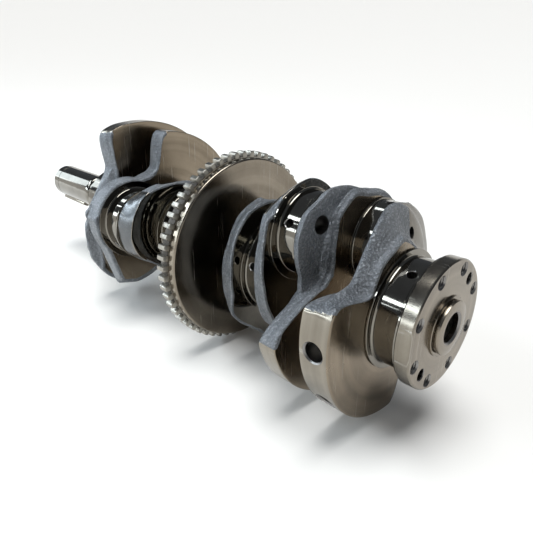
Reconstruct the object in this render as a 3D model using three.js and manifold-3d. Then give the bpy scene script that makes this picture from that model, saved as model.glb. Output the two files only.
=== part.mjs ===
// Crankshaft of a 60 degree V6 engine, in millimetres.
//
// The crank's axis is the X axis. The flywheel flange's rear face is the plane x = 0, and the shaft
// runs forward from it towards -X, ending in the snout. Crank angles are measured about the axis
// from -Y towards +Z. A "station" is a distance forward of the flange's rear face, so x = -station.

import * as THREE from 'three';
import { mergeVertices } from 'three/addons/utils/BufferGeometryUtils.js';
import Module from 'manifold-3d';

const wasm = await Module();
wasm.setup();

// ---------------------------------------------------------------------------------------------
// Driving dimensions
// ---------------------------------------------------------------------------------------------

const THROW = 37.4; // half of the 74.8 mm stroke
const MAIN_RADIUS = 34;
const PIN_RADIUS = 28;
const SHAFT_TURN = 12.75; // how far the whole shaft is turned about its axis, in degrees
const GAP = 0.3; // clearance between neighbouring pieces

const MAIN_COLLAR_RADIUS = 38;
const PIN_COLLAR_RADIUS = 29.2;
const WIDE_PIN_COLLAR_RADIUS = 32.2; // on the pins whose front web stands well clear of the pin
const COLLAR_LENGTH = 1.4;
const RELIEF_DEPTH = 0.6;
const RELIEF_LENGTH = 1.6;

const OIL_HOLE_RADIUS = 2.8;
const OIL_HOLE_MOUTH_RADIUS = 3.6;
const OIL_HOLE_DEPTH = 14;

const LIGHTENING_RADIUS = 6;
const LIGHTENING_ANGLE = 50.6;
const LIGHTENING_REACH = 53.5;
const LIGHTENING_REAR_STATION = 60;
const LIGHTENING_FRONT_STATION = 92;

const FLANGE_RADIUS = 39.6;
const FLANGE_THICKNESS = 9.25;
const FLANGE_CHAMFER = 0.9;
const BOLT_CIRCLE_RADIUS = 33.7;
const BOLT_COUNT = 8;
const BOLT_START_ANGLE = 9;
const FLANGE_HOLE_RADIUS = 3.8;
const DOWEL_CIRCLE_RADIUS = 31.5;
const DOWEL_ANGLE = 121.5;

const HUB_RADIUS = 16.4;
const HUB_STEP_RADIUS = 18.4;
const HUB_STEP_LENGTH = 1.2;
const HUB_GROOVE_RADIUS = 15.4;
const HUB_LENGTH = 4.2;

const PILOT_BORE_RADIUS = 9;
const PILOT_BORE_STATION = 12;
const PILOT_MOUTH_RADIUS = 10.2;
const PILOT_DRILL_RADIUS = 6.5;
const PILOT_DRILL_STATION = 24;

const WHEEL_RADIUS = 71.3;
const WHEEL_EDGE_RADIUS = 69.8;
const RING_SEAT_RADIUS = 65.5;
const RING_REAR_STATION = 169.9;
const RING_FRONT_STATION = 177.5;
const TOOTH_TIP_RADIUS = 75.6;
const TOOTH_ROOT_RADIUS = 71.6;
const TOOTH_PITCHES = 60;
const MISSING_TEETH = 2;
const MISSING_TEETH_ANGLE = 201;

const SEAT_RADIUS = 33;
const SEAT_FRONT_STATION = 366;
const SNOUT_RADIUS = 17.6;
const SNOUT_RELIEF_RADIUS = 16.4;
const SNOUT_RELIEF_FRONT_STATION = 399;
const SNOUT_END_STATION = 483.6;
const SNOUT_BOLT_HOLE_RADIUS = 7;
const SNOUT_BOLT_HOLE_DEPTH = 45;

const KEY_ANGLE = 285;
const KEY_WIDTH = 6;
const KEY_TOP_RADIUS = 20;
const KEY_SEAT_RADIUS = 14.6;
const KEY_REAR_STATION = 424;
const KEY_FRONT_STATION = 474;

// Stations of the shoulders between one section of the forging and the next.
const mains = [
  { name: 'main_journal_1', rear: 318, front: 340, oilAngle: 110 },
  { name: 'main_journal_2', rear: 212.5, front: 234.9, oilAngle: 150 },
  { name: 'main_journal_3', rear: 109.5, front: 131.9, oilAngle: 0, oilStation: 123.9 },
  { name: 'main_journal_4', rear: FLANGE_THICKNESS, front: 28.4, oilAngle: 52.3, oilStation: 17 },
];

const pins = [
  { name: 'crankpin_1', angle: 300, rear: 285, front: 303, oilAngle: 345 },
  { name: 'crankpin_2', angle: 0, rear: 250.9, front: 270, oilAngle: 315, wideFront: true },
  { name: 'crankpin_3', angle: 180, rear: 181, front: 200, oilAngle: 225 },
  { name: 'crankpin_4', angle: 240, rear: 144.4, front: 163.6, oilAngle: 195 },
  {
    name: 'crankpin_5',
    angle: 60,
    rear: 80.5,
    front: 97,
    oilAngle: 13.6,
    wideFront: true,
    lightened: true,
  },
  { name: 'crankpin_6', angle: 120, rear: 47.6, front: 66.9, oilAngle: 75 },
];

// A web is lofted between its rear and front faces through sections. A section gives the boss
// radius round the crank's axis and the radius its noses are turned to. Its flanks are stretches of
// the outline, as [angle, radius] points, where the forging runs away from plain noses and bosses.
// A section with a `between` share lies between the rear and front outlines, and swells or hollows.
// A lobe's root and tip angles are where a counterweight leaves the boss and where it is full size.
const rearRidge = [
  [-21.9, 72], [-15.2, 57.1], [-4.5, 40.1], [6.6, 28], [27.3, 25], [42.8, 31.5], [54.9, 44.8],
  [61.3, 55.8], [77.4, 65.4], [90, 64], [111, 68.5], [120.4, 68],
];
const frontRidge = [
  [-24.6, 72], [-13.8, 46.9], [-2.3, 38.7], [11.7, 41.3], [22.6, 51.1], [31.5, 58.9], [44.5, 66.2],
  [59.6, 66.5], [68.9, 67.5],
];
const frontRidgeFarSide = rearRidge
  .slice(3)
  .map(([angle, radius]) => [180 - angle, radius])
  .reverse();

const webs = [
  {
    name: 'front_counterweight_web',
    rear: 303,
    front: 318,
    noses: [{ angle: 300, radius: 35.5 }],
    lobe: { radius: 85, roots: [30, 205], tips: [56, 178] },
    sections: [
      {
        at: 0,
        boss: 42,
        flanks: [
          [[-49.4, 69], [-41.8, 63], [-31.7, 60.1], [-20, 56.6], [10.3, 55.7], [20.6, 54.2], [29.3, 51],
            [36, 48.5], [43, 53.5], [50.3, 71.2], [52.8, 82], [56, 85]],
        ],
      },
      {
        at: 0.45,
        boss: 42,
        flanks: [
          [[-44, 71.5], [-30, 67], [-16, 64], [2.3, 60], [22.2, 56], [32, 54], [43, 57], [48, 70],
            [51, 82], [54, 85]],
        ],
      },
      {
        at: 1,
        boss: 40,
        turned: 70,
        flanks: [
          [[-36.4, 67.8], [-28.5, 64.1], [-12.8, 61.2], [4.4, 54.5], [23.2, 53.2], [34, 54.5],
            [42.1, 58.9], [46.5, 71], [50.4, 83], [53.6, 85]],
        ],
      },
    ],
  },
  {
    name: 'front_flying_web',
    rear: 270,
    front: 285,
    noses: [{ angle: 300, radius: 33.5 }, { angle: 0, radius: 35.2 }],
    lobe: { radius: 79.5, roots: [56, 180], tips: [77, 160] },
    sections: [
      {
        at: 0,
        boss: 36,
        flanks: [
          [[-100, 43], [-90, 43.9], [-77.3, 47.8], [-69, 57.4], [-62.3, 65.6], [-55, 69.6]],
          [[44.5, 49.3], [55, 46.5], [62.5, 47.6], [71.1, 56.1], [75.7, 76.8], [79, 79.5]],
        ],
      },
      {
        at: 1,
        boss: 36,
        flanks: [
          [[-103, 46], [-90, 53], [-80, 60.5], [-72, 66.4], [-64, 69.6]],
          [[44.5, 48.5], [60, 46.5], [68.9, 49.8], [71.8, 62.7], [77, 79.5]],
        ],
      },
    ],
  },
  {
    name: 'web_at_crankpin_2',
    rear: 234.9,
    front: 250.9,
    noses: [{ angle: 0, radius: 31.5 }],
    sections: [
      {
        at: 0,
        boss: 39.5,
        turned: 61.3,
        flanks: [
          [[-52.8, 41.6], [-34.9, 49.8], [-24.8, 56.2], [-8.4, 61.2]],
          [[6.9, 61.3], [20.6, 60.1], [29.3, 58.2], [45.9, 49.7], [76.1, 39.7]],
        ],
      },
      {
        at: 1,
        boss: 39.5,
        turned: 65,
        flanks: [[[-45, 46], [-21.4, 59.8], [-12, 62.6], [7, 64.8], [16.5, 62.5], [25.5, 57], [50, 46]]],
      },
    ],
  },
  {
    name: 'web_at_crankpin_3',
    rear: 200,
    front: 212.5,
    noses: [{ angle: 180, radius: 31.5 }],
    sections: [{ at: 0, boss: 41, turned: 66 }, { at: 1, boss: 41, turned: 61.3 }],
  },
  {
    name: 'web_at_crankpin_4',
    rear: 131.9,
    front: 144.4,
    noses: [{ angle: 240, radius: 33 }],
    sections: [
      {
        at: 0,
        boss: 46.8,
        turned: 61.3,
        flanks: [[[-85.7, 56], [-70, 53], [-45, 53.5], [-29.6, 46.4], [8.4, 47.7], [44.9, 51.7], [72.9, 47.4]]],
      },
      {
        at: 1,
        boss: 44,
        turned: 67,
        flanks: [[[-99.5, 62.3], [-85.6, 56.7], [-60, 51.8], [-42.3, 46.4], [-20.4, 43.9], [18.7, 43.5],
          [41.9, 47.4], [72.3, 48]]],
      },
    ],
  },
  {
    name: 'web_at_crankpin_5',
    rear: 97,
    front: 109.5,
    noses: [{ angle: 60, radius: 34 }],
    sections: [
      {
        at: 0,
        boss: 47,
        turned: 69.8,
        flanks: [[[-60, 45], [-26.3, 46.2], [-7.1, 48.9], [13.1, 56.2], [25.4, 62.2], [36.7, 69.5]]],
      },
      {
        at: 1,
        boss: 45,
        turned: 62,
        flanks: [[[-52.1, 45.4], [-9, 45.6], [7.9, 48.6], [25.7, 53.5], [39.2, 62]]],
      },
    ],
  },
  {
    name: 'rear_flying_web',
    rear: 66.9,
    front: 80.5,
    noses: [{ angle: 60, radius: 31.8 }, { angle: 120, radius: 31.8 }],
    lobe: { radius: 72, roots: [-124, 2], tips: [-98, -24] },
    sections: [
      { at: 0, boss: 34, flanks: [rearRidge] },
      { at: 0.28, between: 0.2, swell: { height: -1, start: -12, end: 192 } },
      { at: 0.46, between: 0.5, swell: { height: -4, start: -12, end: 192 } },
      { at: 0.72, between: 0.95, swell: { height: 1, start: -12, end: 192 } },
      { at: 1, boss: 34, flanks: [frontRidge, frontRidgeFarSide] },
    ],
  },
  {
    name: 'rear_counterweight_web',
    rear: 28.4,
    front: 47.6,
    noses: [{ angle: 120, radius: 36 }],
    lobe: { radius: 71.2, roots: [-125, 20], tips: [-106, 5] },
    sections: [
      {
        at: 0,
        boss: 41,
        flanks: [
          [[5.5, 73.5], [8.9, 67.7], [12, 46.4], [17.6, 39.8], [29, 42], [40.5, 45.2], [57.5, 45.5],
            [70, 47.9], [80.5, 43.6], [93.5, 38.5], [115, 34], [130, 34], [150, 36], [180, 40]],
        ],
      },
      {
        at: 0.28,
        boss: 41,
        flanks: [
          [[5, 72], [13.8, 50], [19.6, 45], [38, 49], [58, 54], [69, 58], [78, 55], [92.8, 47], [115, 41],
            [180, 41]],
        ],
      },
      {
        at: 0.5,
        boss: 41,
        flanks: [
          [[4.5, 71.5], [13.8, 56.2], [19.6, 49.2], [26.8, 48.8], [48.9, 54.9], [58, 60.6], [64.8, 65],
            [69, 66], [78, 64.3], [92.8, 58.5], [103, 54.5], [119, 49.5], [130, 46], [180, 43]],
        ],
      },
      {
        at: 1,
        boss: 38,
        flanks: [
          [[4.2, 71.2], [12, 40.6], [20.9, 33.1], [32.3, 33], [48.8, 36.9], [62.6, 43.3], [79, 58.6],
            [91, 61.7], [105, 63], [122, 64], [137, 62], [158, 62], [175, 55], [200, 43]],
        ],
      },
    ],
  },
];

const steel = { ground: 0xb9bdc2, forged: 0x4d535b, turned: 0x8d8478, toothed: 0xa39a8c, key: 0x7c7f83 };

// ---------------------------------------------------------------------------------------------
// Helpers
// ---------------------------------------------------------------------------------------------

const radians = THREE.MathUtils.degToRad;

// A point at a crank angle and radius, in the YZ plane.
function crankPoint(angle, radius) {
  return new THREE.Vector2(-radius * Math.cos(radians(angle)), radius * Math.sin(radians(angle)));
}

function finish(colour, roughness, metalness = 1) {
  return new THREE.MeshStandardMaterial({ color: colour, roughness, metalness });
}

function toManifold(geometry) {
  const bare = geometry.clone();
  bare.deleteAttribute('normal');
  bare.deleteAttribute('uv');
  const merged = mergeVertices(bare, 1e-4);
  const vertProperties = new Float32Array(merged.attributes.position.array);
  const triVerts = new Uint32Array(merged.index.array);
  return new wasm.Manifold(new wasm.Mesh({ numProp: 3, vertProperties, triVerts }));
}

function toGeometry(solid) {
  const mesh = solid.getMesh();
  const geometry = new THREE.BufferGeometry();
  geometry.setAttribute('position', new THREE.BufferAttribute(mesh.vertProperties, 3));
  geometry.setIndex(new THREE.BufferAttribute(mesh.triVerts, 1));
  geometry.computeVertexNormals();
  return geometry;
}

function cut(geometry, tools) {
  let solid = toManifold(geometry);
  for (const tool of tools) {
    solid = solid.subtract(toManifold(tool));
  }
  return toGeometry(solid);
}

// A turned solid about the X axis. The outline is a list of [station, radius] pairs that runs
// forward, and it is closed along the axis.
function turned(outline, segments = 48) {
  const profile = [...outline].reverse().map(([station, radius]) => new THREE.Vector2(radius, -station));
  return new THREE.LatheGeometry(profile, segments).rotateZ(-Math.PI / 2);
}

// A drill along a crank radius: a straight hole with a countersunk mouth at the given radius.
function radialDrill({ station, angle, mouth, radius, mouthRadius, depth }) {
  const outside = 4;
  const sink = mouthRadius - radius;
  const profile = [
    new THREE.Vector2(0, mouth - depth),
    new THREE.Vector2(radius, mouth - depth),
    new THREE.Vector2(radius, mouth - sink),
    new THREE.Vector2(mouthRadius, mouth),
    new THREE.Vector2(mouthRadius, mouth + outside),
    new THREE.Vector2(0, mouth + outside),
  ];
  const drill = new THREE.LatheGeometry(profile, 16);
  drill.rotateX(Math.PI - radians(angle));
  return drill.translate(-station, 0, 0);
}

// A drill along the X axis, at a crank angle and radius, between two stations.
function axialDrill({ rear, front, angle, at, radius, segments = 16 }) {
  const drill = new THREE.CylinderGeometry(radius, radius, front - rear, segments).rotateZ(Math.PI / 2);
  const centre = crankPoint(angle, at);
  return drill.translate(-(rear + front) / 2, centre.x, centre.y);
}

// ---------------------------------------------------------------------------------------------
// Journals and crankpins
// ---------------------------------------------------------------------------------------------

function journalOutline({ rear, front }, radius, rearCollar, frontCollar) {
  const start = rear + GAP / 2;
  const end = front - GAP / 2;
  const relief = radius - RELIEF_DEPTH;
  return [
    [start, 0],
    [start, rearCollar],
    [start + COLLAR_LENGTH, rearCollar],
    [start + COLLAR_LENGTH, relief],
    [start + COLLAR_LENGTH + RELIEF_LENGTH, radius],
    [end - COLLAR_LENGTH - RELIEF_LENGTH, radius],
    [end - COLLAR_LENGTH, relief],
    [end - COLLAR_LENGTH, frontCollar],
    [end, frontCollar],
    [end, 0],
  ];
}

// The oil hole is half way along the journal, unless the journal gives a station for it.
function journal(spec, radius, rearCollar, frontCollar, bores = []) {
  const oilHole = radialDrill({
    station: spec.oilStation ?? (spec.rear + spec.front) / 2,
    angle: spec.oilAngle,
    mouth: radius,
    radius: OIL_HOLE_RADIUS,
    mouthRadius: OIL_HOLE_MOUTH_RADIUS,
    depth: OIL_HOLE_DEPTH,
  });
  return cut(turned(journalOutline(spec, radius, rearCollar, frontCollar)), [oilHole, ...bores]);
}

// The hole that runs through the rear flying web into crankpin 5.
function lighteningHole() {
  return axialDrill({
    rear: LIGHTENING_REAR_STATION,
    front: LIGHTENING_FRONT_STATION,
    angle: LIGHTENING_ANGLE,
    at: LIGHTENING_REACH,
    radius: LIGHTENING_RADIUS,
  });
}

function crankpin(pin) {
  const centre = crankPoint(pin.angle, THROW);
  const frontCollar = pin.wideFront ? WIDE_PIN_COLLAR_RADIUS : PIN_COLLAR_RADIUS;
  const solid = journal(pin, PIN_RADIUS, PIN_COLLAR_RADIUS, frontCollar).translate(0, centre.x, centre.y);
  return pin.lightened ? cut(solid, [lighteningHole()]) : solid;
}

// ---------------------------------------------------------------------------------------------
// Webs
// ---------------------------------------------------------------------------------------------

const WEB_STEPS = 96;
const EDGE_BREAK = 0.8;
const SWELL_STEEPNESS = 2.5;

// The signed difference of two angles, from -180 to 180 degrees.
function angleBetween(angle, reference) {
  return THREE.MathUtils.euclideanModulo(angle - reference + 180, 360) - 180;
}

// The reach, along a ray from the crank's axis, of a nose that wraps a crankpin and runs in
// straight flanks to the round boss.
function noseReach(angle, nose, boss) {
  const offset = Math.abs(angleBetween(angle, nose.angle));
  const across = THROW * Math.sin(radians(offset));
  let reach = boss;
  if (offset < 90 && across < nose.radius) {
    reach = Math.max(reach, THROW * Math.cos(radians(offset)) + Math.sqrt(nose.radius ** 2 - across ** 2));
  }
  const flankAngle = THREE.MathUtils.radToDeg(Math.acos((boss - nose.radius) / THROW));
  const touch = crankPoint(flankAngle, nose.radius).add(crankPoint(0, THROW));
  const touchAngle = THREE.MathUtils.radToDeg(Math.atan2(touch.y, -touch.x));
  if (offset > touchAngle && offset < flankAngle) {
    reach = Math.max(reach, boss / Math.cos(radians(offset - flankAngle)));
  }
  return reach;
}

// The reach of the flat between two neighbouring noses of a flying web.
function bridgeReach(angle, noses) {
  const middle = noses[1].angle + angleBetween(noses[0].angle, noses[1].angle) / 2;
  const halfSpread = Math.abs(angleBetween(noses[0].angle, middle));
  const offset = Math.abs(angleBetween(angle, middle));
  if (offset > halfSpread) {
    return 0;
  }
  const height = THROW * Math.cos(radians(halfSpread)) + Math.min(noses[0].radius, noses[1].radius);
  return height / Math.cos(radians(offset));
}

// How far the counterweight lobe reaches: it rises from its roots to its tips, then stays round.
function lobeReach(angle, lobe, boss) {
  const [startRoot, endRoot] = lobe.roots;
  const [startTip, endTip] = lobe.tips;
  const pastStart = angleBetween(angle, startRoot) / (startTip - startRoot);
  const pastEnd = angleBetween(endRoot, angle) / (endRoot - endTip);
  const rise = THREE.MathUtils.clamp(Math.min(pastStart, pastEnd), 0, 1) ** 2;
  return boss + (lobe.radius - boss) * rise;
}

// The outline led through a flank's points, wherever the angle lies on that flank.
function flankReach(reach, flank, angle) {
  const [[start]] = flank;
  const offset = THREE.MathUtils.euclideanModulo(angle - start, 360);
  const next = flank.findIndex(([at]) => at - start >= offset);
  if (next < 0) {
    return reach;
  }
  if (next === 0) {
    return flank[0][1];
  }
  const [nearAngle, nearReach] = flank[next - 1];
  const [farAngle, farReach] = flank[next];
  const share = (offset + start - nearAngle) / (farAngle - nearAngle);
  return THREE.MathUtils.lerp(nearReach, farReach, share);
}

function webReach(web, section, angle) {
  if (section.between !== undefined) {
    const { height, start, end } = section.swell;
    const rear = webReach(web, web.sections[0], angle);
    const front = webReach(web, web.sections[web.sections.length - 1], angle);
    const inside = Math.min(THREE.MathUtils.euclideanModulo(angle - start, 360) / (end - start), 1);
    const swell = height * Math.min(1, SWELL_STEEPNESS * Math.sin(Math.PI * inside));
    return THREE.MathUtils.lerp(rear, front, section.between) + swell;
  }
  let reach = Math.max(...web.noses.map((nose) => noseReach(angle, nose, section.boss)));
  if (web.noses.length === 2) {
    reach = Math.max(reach, bridgeReach(angle, web.noses));
  }
  reach = Math.min(reach, section.turned ?? Infinity);
  if (web.lobe) {
    reach = Math.max(reach, lobeReach(angle, web.lobe, section.boss));
  }
  for (const flank of section.flanks ?? []) {
    reach = flankReach(reach, flank, angle);
  }
  return reach;
}

// One closed ring of points for a section, softened a little as a forging is.
function webRing(web, section, station, inset) {
  const reaches = [];
  for (let step = 0; step < WEB_STEPS; step += 1) {
    reaches.push(webReach(web, section, (360 * step) / WEB_STEPS));
  }
  return reaches.map((reach, step) => {
    const before = reaches[(step + WEB_STEPS - 1) % WEB_STEPS];
    const after = reaches[(step + 1) % WEB_STEPS];
    const point = crankPoint((360 * step) / WEB_STEPS, (before + 2 * reach + after) / 4 - inset);
    return new THREE.Vector3(-station, point.x, point.y);
  });
}

// A closed solid through rings of equal length, with a flat fan on each end.
function loft(rings) {
  const count = rings[0].length;
  const points = rings.flat();
  const triangles = [];
  for (let ring = 0; ring + 1 < rings.length; ring += 1) {
    for (let step = 0; step < count; step += 1) {
      const a = ring * count + step;
      const b = ring * count + ((step + 1) % count);
      triangles.push(a, b, a + count, b, b + count, a + count);
    }
  }
  const rearCentre = points.length;
  points.push(new THREE.Vector3(rings[0][0].x, 0, 0));
  const frontCentre = points.length;
  points.push(new THREE.Vector3(rings[rings.length - 1][0].x, 0, 0));
  const lastRing = (rings.length - 1) * count;
  for (let step = 0; step < count; step += 1) {
    const next = (step + 1) % count;
    triangles.push(rearCentre, next, step);
    triangles.push(frontCentre, lastRing + step, lastRing + next);
  }
  const geometry = new THREE.BufferGeometry();
  const positions = new Float32Array(points.flatMap((point) => [point.x, point.y, point.z]));
  geometry.setAttribute('position', new THREE.BufferAttribute(positions, 3));
  geometry.setIndex(triangles);
  geometry.computeVertexNormals();
  return geometry;
}

function web(spec) {
  const rear = spec.rear + GAP / 2;
  const front = spec.front - GAP / 2;
  const first = spec.sections[0];
  const last = spec.sections[spec.sections.length - 1];
  const rings = [webRing(spec, first, rear, EDGE_BREAK), webRing(spec, first, rear + EDGE_BREAK, 0)];
  for (const section of spec.sections.slice(1, -1)) {
    rings.push(webRing(spec, section, THREE.MathUtils.lerp(rear, front, section.at), 0));
  }
  rings.push(webRing(spec, last, front - EDGE_BREAK, 0), webRing(spec, last, front, EDGE_BREAK));
  return loft(rings);
}

// Holes drilled into the webs: balance holes in the rear counterweight's rim, the lightening hole
// through the rear flying web and the oil drilling through the rear web's nose.
const webDrills = {
  rear_counterweight_web: [
    radialDrill({ station: 38, angle: -16, mouth: 70, radius: 6, mouthRadius: 6, depth: 16 }),
    radialDrill({ station: 38, angle: -50, mouth: 70, radius: 6, mouthRadius: 6, depth: 16 }),
    axialDrill({ rear: 20, front: 45, angle: 90, at: 46, radius: 3.6 }),
  ],
  rear_flying_web: [
    lighteningHole(),
  ],
};

// ---------------------------------------------------------------------------------------------
// Tone wheel
// ---------------------------------------------------------------------------------------------

function toneWheel() {
  const rear = pins[3].front + GAP / 2;
  const front = pins[2].rear - GAP / 2;
  return turned(
    [
      [rear, 0],
      [rear, WHEEL_EDGE_RADIUS - 1.2],
      [rear + 1.2, WHEEL_EDGE_RADIUS],
      [RING_REAR_STATION - GAP, WHEEL_RADIUS],
      [RING_REAR_STATION - GAP, RING_SEAT_RADIUS],
      [front - 1, RING_SEAT_RADIUS],
      [front, RING_SEAT_RADIUS - 1],
      [front, 0],
    ],
    96,
  );
}

function toneRing() {
  const outline = [];
  const pitch = 360 / TOOTH_PITCHES;
  const gapStart = MISSING_TEETH_ANGLE / pitch;
  for (let tooth = 0; tooth < TOOTH_PITCHES; tooth += 1) {
    const missing = tooth >= gapStart && tooth < gapStart + MISSING_TEETH;
    const tip = missing ? TOOTH_ROOT_RADIUS : TOOTH_TIP_RADIUS;
    const start = tooth * pitch;
    outline.push(crankPoint(start, TOOTH_ROOT_RADIUS));
    outline.push(crankPoint(start + pitch * 0.04, tip));
    outline.push(crankPoint(start + pitch * 0.48, tip));
    outline.push(crankPoint(start + pitch * 0.52, TOOTH_ROOT_RADIUS));
  }
  const shape = new THREE.Shape(outline.map((point) => new THREE.Vector2(-point.x, point.y)));
  const bore = new THREE.Path();
  bore.absarc(0, 0, RING_SEAT_RADIUS + GAP, 0, 2 * Math.PI, true);
  shape.holes.push(bore);
  const depth = RING_FRONT_STATION - RING_REAR_STATION;
  const ring = new THREE.ExtrudeGeometry(shape, { depth, bevelEnabled: false, curveSegments: 96 });
  return ring.rotateY(Math.PI / 2).rotateX(-Math.PI / 2).translate(-RING_FRONT_STATION, 0, 0);
}

// ---------------------------------------------------------------------------------------------
// Flange and hub
// ---------------------------------------------------------------------------------------------

function flange() {
  const front = FLANGE_THICKNESS - GAP / 2;
  const disc = turned(
    [
      [0, 0],
      [0, FLANGE_RADIUS - FLANGE_CHAMFER],
      [FLANGE_CHAMFER, FLANGE_RADIUS],
      [front - FLANGE_CHAMFER, FLANGE_RADIUS],
      [front, FLANGE_RADIUS - FLANGE_CHAMFER],
      [front, 0],
    ],
    96,
  );
  const hole = { rear: -5, front: 15, radius: FLANGE_HOLE_RADIUS };
  const holes = [];
  for (let bolt = 0; bolt < BOLT_COUNT; bolt += 1) {
    const angle = BOLT_START_ANGLE + (360 * bolt) / BOLT_COUNT;
    holes.push(axialDrill({ ...hole, angle, at: BOLT_CIRCLE_RADIUS }));
  }
  for (const angle of [DOWEL_ANGLE, DOWEL_ANGLE + 180]) {
    holes.push(axialDrill({ ...hole, angle, at: DOWEL_CIRCLE_RADIUS }));
  }
  return cut(disc, [...holes, pilotBore()]);
}

// The bore for the gearbox's pilot, through the hub and flange and into the last main journal.
function pilotBore() {
  const mouth = -HUB_LENGTH;
  return turned([
    [mouth - 1, 0],
    [mouth - 1, PILOT_MOUTH_RADIUS + 1],
    [mouth + PILOT_MOUTH_RADIUS - PILOT_BORE_RADIUS, PILOT_BORE_RADIUS],
    [PILOT_BORE_STATION, PILOT_BORE_RADIUS],
    [PILOT_BORE_STATION + 2, PILOT_DRILL_RADIUS],
    [PILOT_DRILL_STATION, PILOT_DRILL_RADIUS],
    [PILOT_DRILL_STATION, 0],
  ]);
}

function hub() {
  const groove = HUB_STEP_LENGTH + 0.8;
  const body = turned([
    [-HUB_LENGTH, 0],
    [-HUB_LENGTH, HUB_RADIUS - 0.6],
    [-HUB_LENGTH + 0.6, HUB_RADIUS],
    [-groove, HUB_RADIUS],
    [-groove, HUB_GROOVE_RADIUS],
    [-HUB_STEP_LENGTH, HUB_GROOVE_RADIUS],
    [-HUB_STEP_LENGTH, HUB_STEP_RADIUS],
    [-GAP, HUB_STEP_RADIUS],
    [-GAP, 0],
  ]);
  return cut(body, [pilotBore()]);
}

// ---------------------------------------------------------------------------------------------
// Snout
// ---------------------------------------------------------------------------------------------

function snout() {
  const end = SNOUT_END_STATION;
  const shaft = turned([
    [SEAT_FRONT_STATION + GAP / 2, 0],
    [SEAT_FRONT_STATION + GAP / 2, SNOUT_RELIEF_RADIUS],
    [SNOUT_RELIEF_FRONT_STATION, SNOUT_RELIEF_RADIUS],
    [SNOUT_RELIEF_FRONT_STATION + 0.8, SNOUT_RADIUS],
    [end - 1.4, SNOUT_RADIUS],
    [end, SNOUT_RADIUS - 1.4],
    [end, 0],
  ]);
  const boltHole = turned(
    [
      [end - SNOUT_BOLT_HOLE_DEPTH, 0],
      [end - SNOUT_BOLT_HOLE_DEPTH, SNOUT_BOLT_HOLE_RADIUS],
      [end - 2, SNOUT_BOLT_HOLE_RADIUS],
      [end + 2, SNOUT_BOLT_HOLE_RADIUS + 4],
      [end + 2, 0],
    ],
    24,
  );
  return cut(shaft, [boltHole, keyBlock(GAP)]);
}

// The key, or the seat cut for it when it is grown by a clearance.
function keyBlock(clearance) {
  const length = KEY_FRONT_STATION - KEY_REAR_STATION + 2 * clearance;
  const bottom = KEY_SEAT_RADIUS - clearance;
  const top = KEY_TOP_RADIUS + (clearance > 0 ? 5 : 0);
  const block = new THREE.BoxGeometry(length, KEY_WIDTH + 2 * clearance, top - bottom);
  block.translate(-(KEY_REAR_STATION + KEY_FRONT_STATION) / 2, 0, (top + bottom) / 2);
  return block.rotateX(radians(90 - KEY_ANGLE));
}

function sprocketSeat() {
  return turned([
    [mains[0].front + GAP / 2, 0],
    [mains[0].front + GAP / 2, SEAT_RADIUS],
    [SEAT_FRONT_STATION - GAP / 2 - 1, SEAT_RADIUS],
    [SEAT_FRONT_STATION - GAP / 2, SEAT_RADIUS - 1],
    [SEAT_FRONT_STATION - GAP / 2, SNOUT_RADIUS],
    [SEAT_FRONT_STATION - GAP / 2, 0],
  ]);
}

// ---------------------------------------------------------------------------------------------
// Assembly
// ---------------------------------------------------------------------------------------------

const crankshaft = new THREE.Group();
crankshaft.rotation.x = radians(-SHAFT_TURN);

function add(name, geometry, material) {
  const mesh = new THREE.Mesh(geometry, material);
  mesh.name = name;
  crankshaft.add(mesh);
}

add('snout', snout(), finish(steel.ground, 0.25));
add('snout_key', keyBlock(0), finish(steel.key, 0.45));
add('timing_sprocket_seat', sprocketSeat(), finish(steel.ground, 0.25));
for (const main of mains) {
  const bores = main.name === 'main_journal_4' ? [pilotBore()] : [];
  const solid = journal(main, MAIN_RADIUS, MAIN_COLLAR_RADIUS, MAIN_COLLAR_RADIUS, bores);
  add(main.name, solid, finish(steel.ground, 0.12));
}
for (const pin of pins) {
  add(pin.name, crankpin(pin), finish(steel.ground, 0.12));
}
for (const spec of webs) {
  const drills = webDrills[spec.name] ?? [];
  add(spec.name, cut(web(spec), drills), finish(steel.forged, 0.55));
}
add('tone_wheel_web', toneWheel(), finish(steel.turned, 0.35));
add('tone_ring', toneRing(), finish(steel.toothed, 0.4));
add('flywheel_flange', flange(), finish(steel.turned, 0.3));
add('pilot_hub', hub(), finish(steel.turned, 0.3));

export default crankshaft;
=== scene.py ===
"""A V6 crankshaft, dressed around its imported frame.

The crank's axis is the X axis, and the shaft runs forward from the flywheel flange at x = 0 towards
-X. Lengths in this script are millimetres in the shaft's own turned frame: a "station" is a distance
forward of the flange, and a crank angle is measured about the axis from -Y towards +Z, less the turn
of the whole shaft. place() turns them into metres in the frame's own axes.
"""
import math

import bmesh
import bpy
import numpy as np
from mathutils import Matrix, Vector, noise


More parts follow.
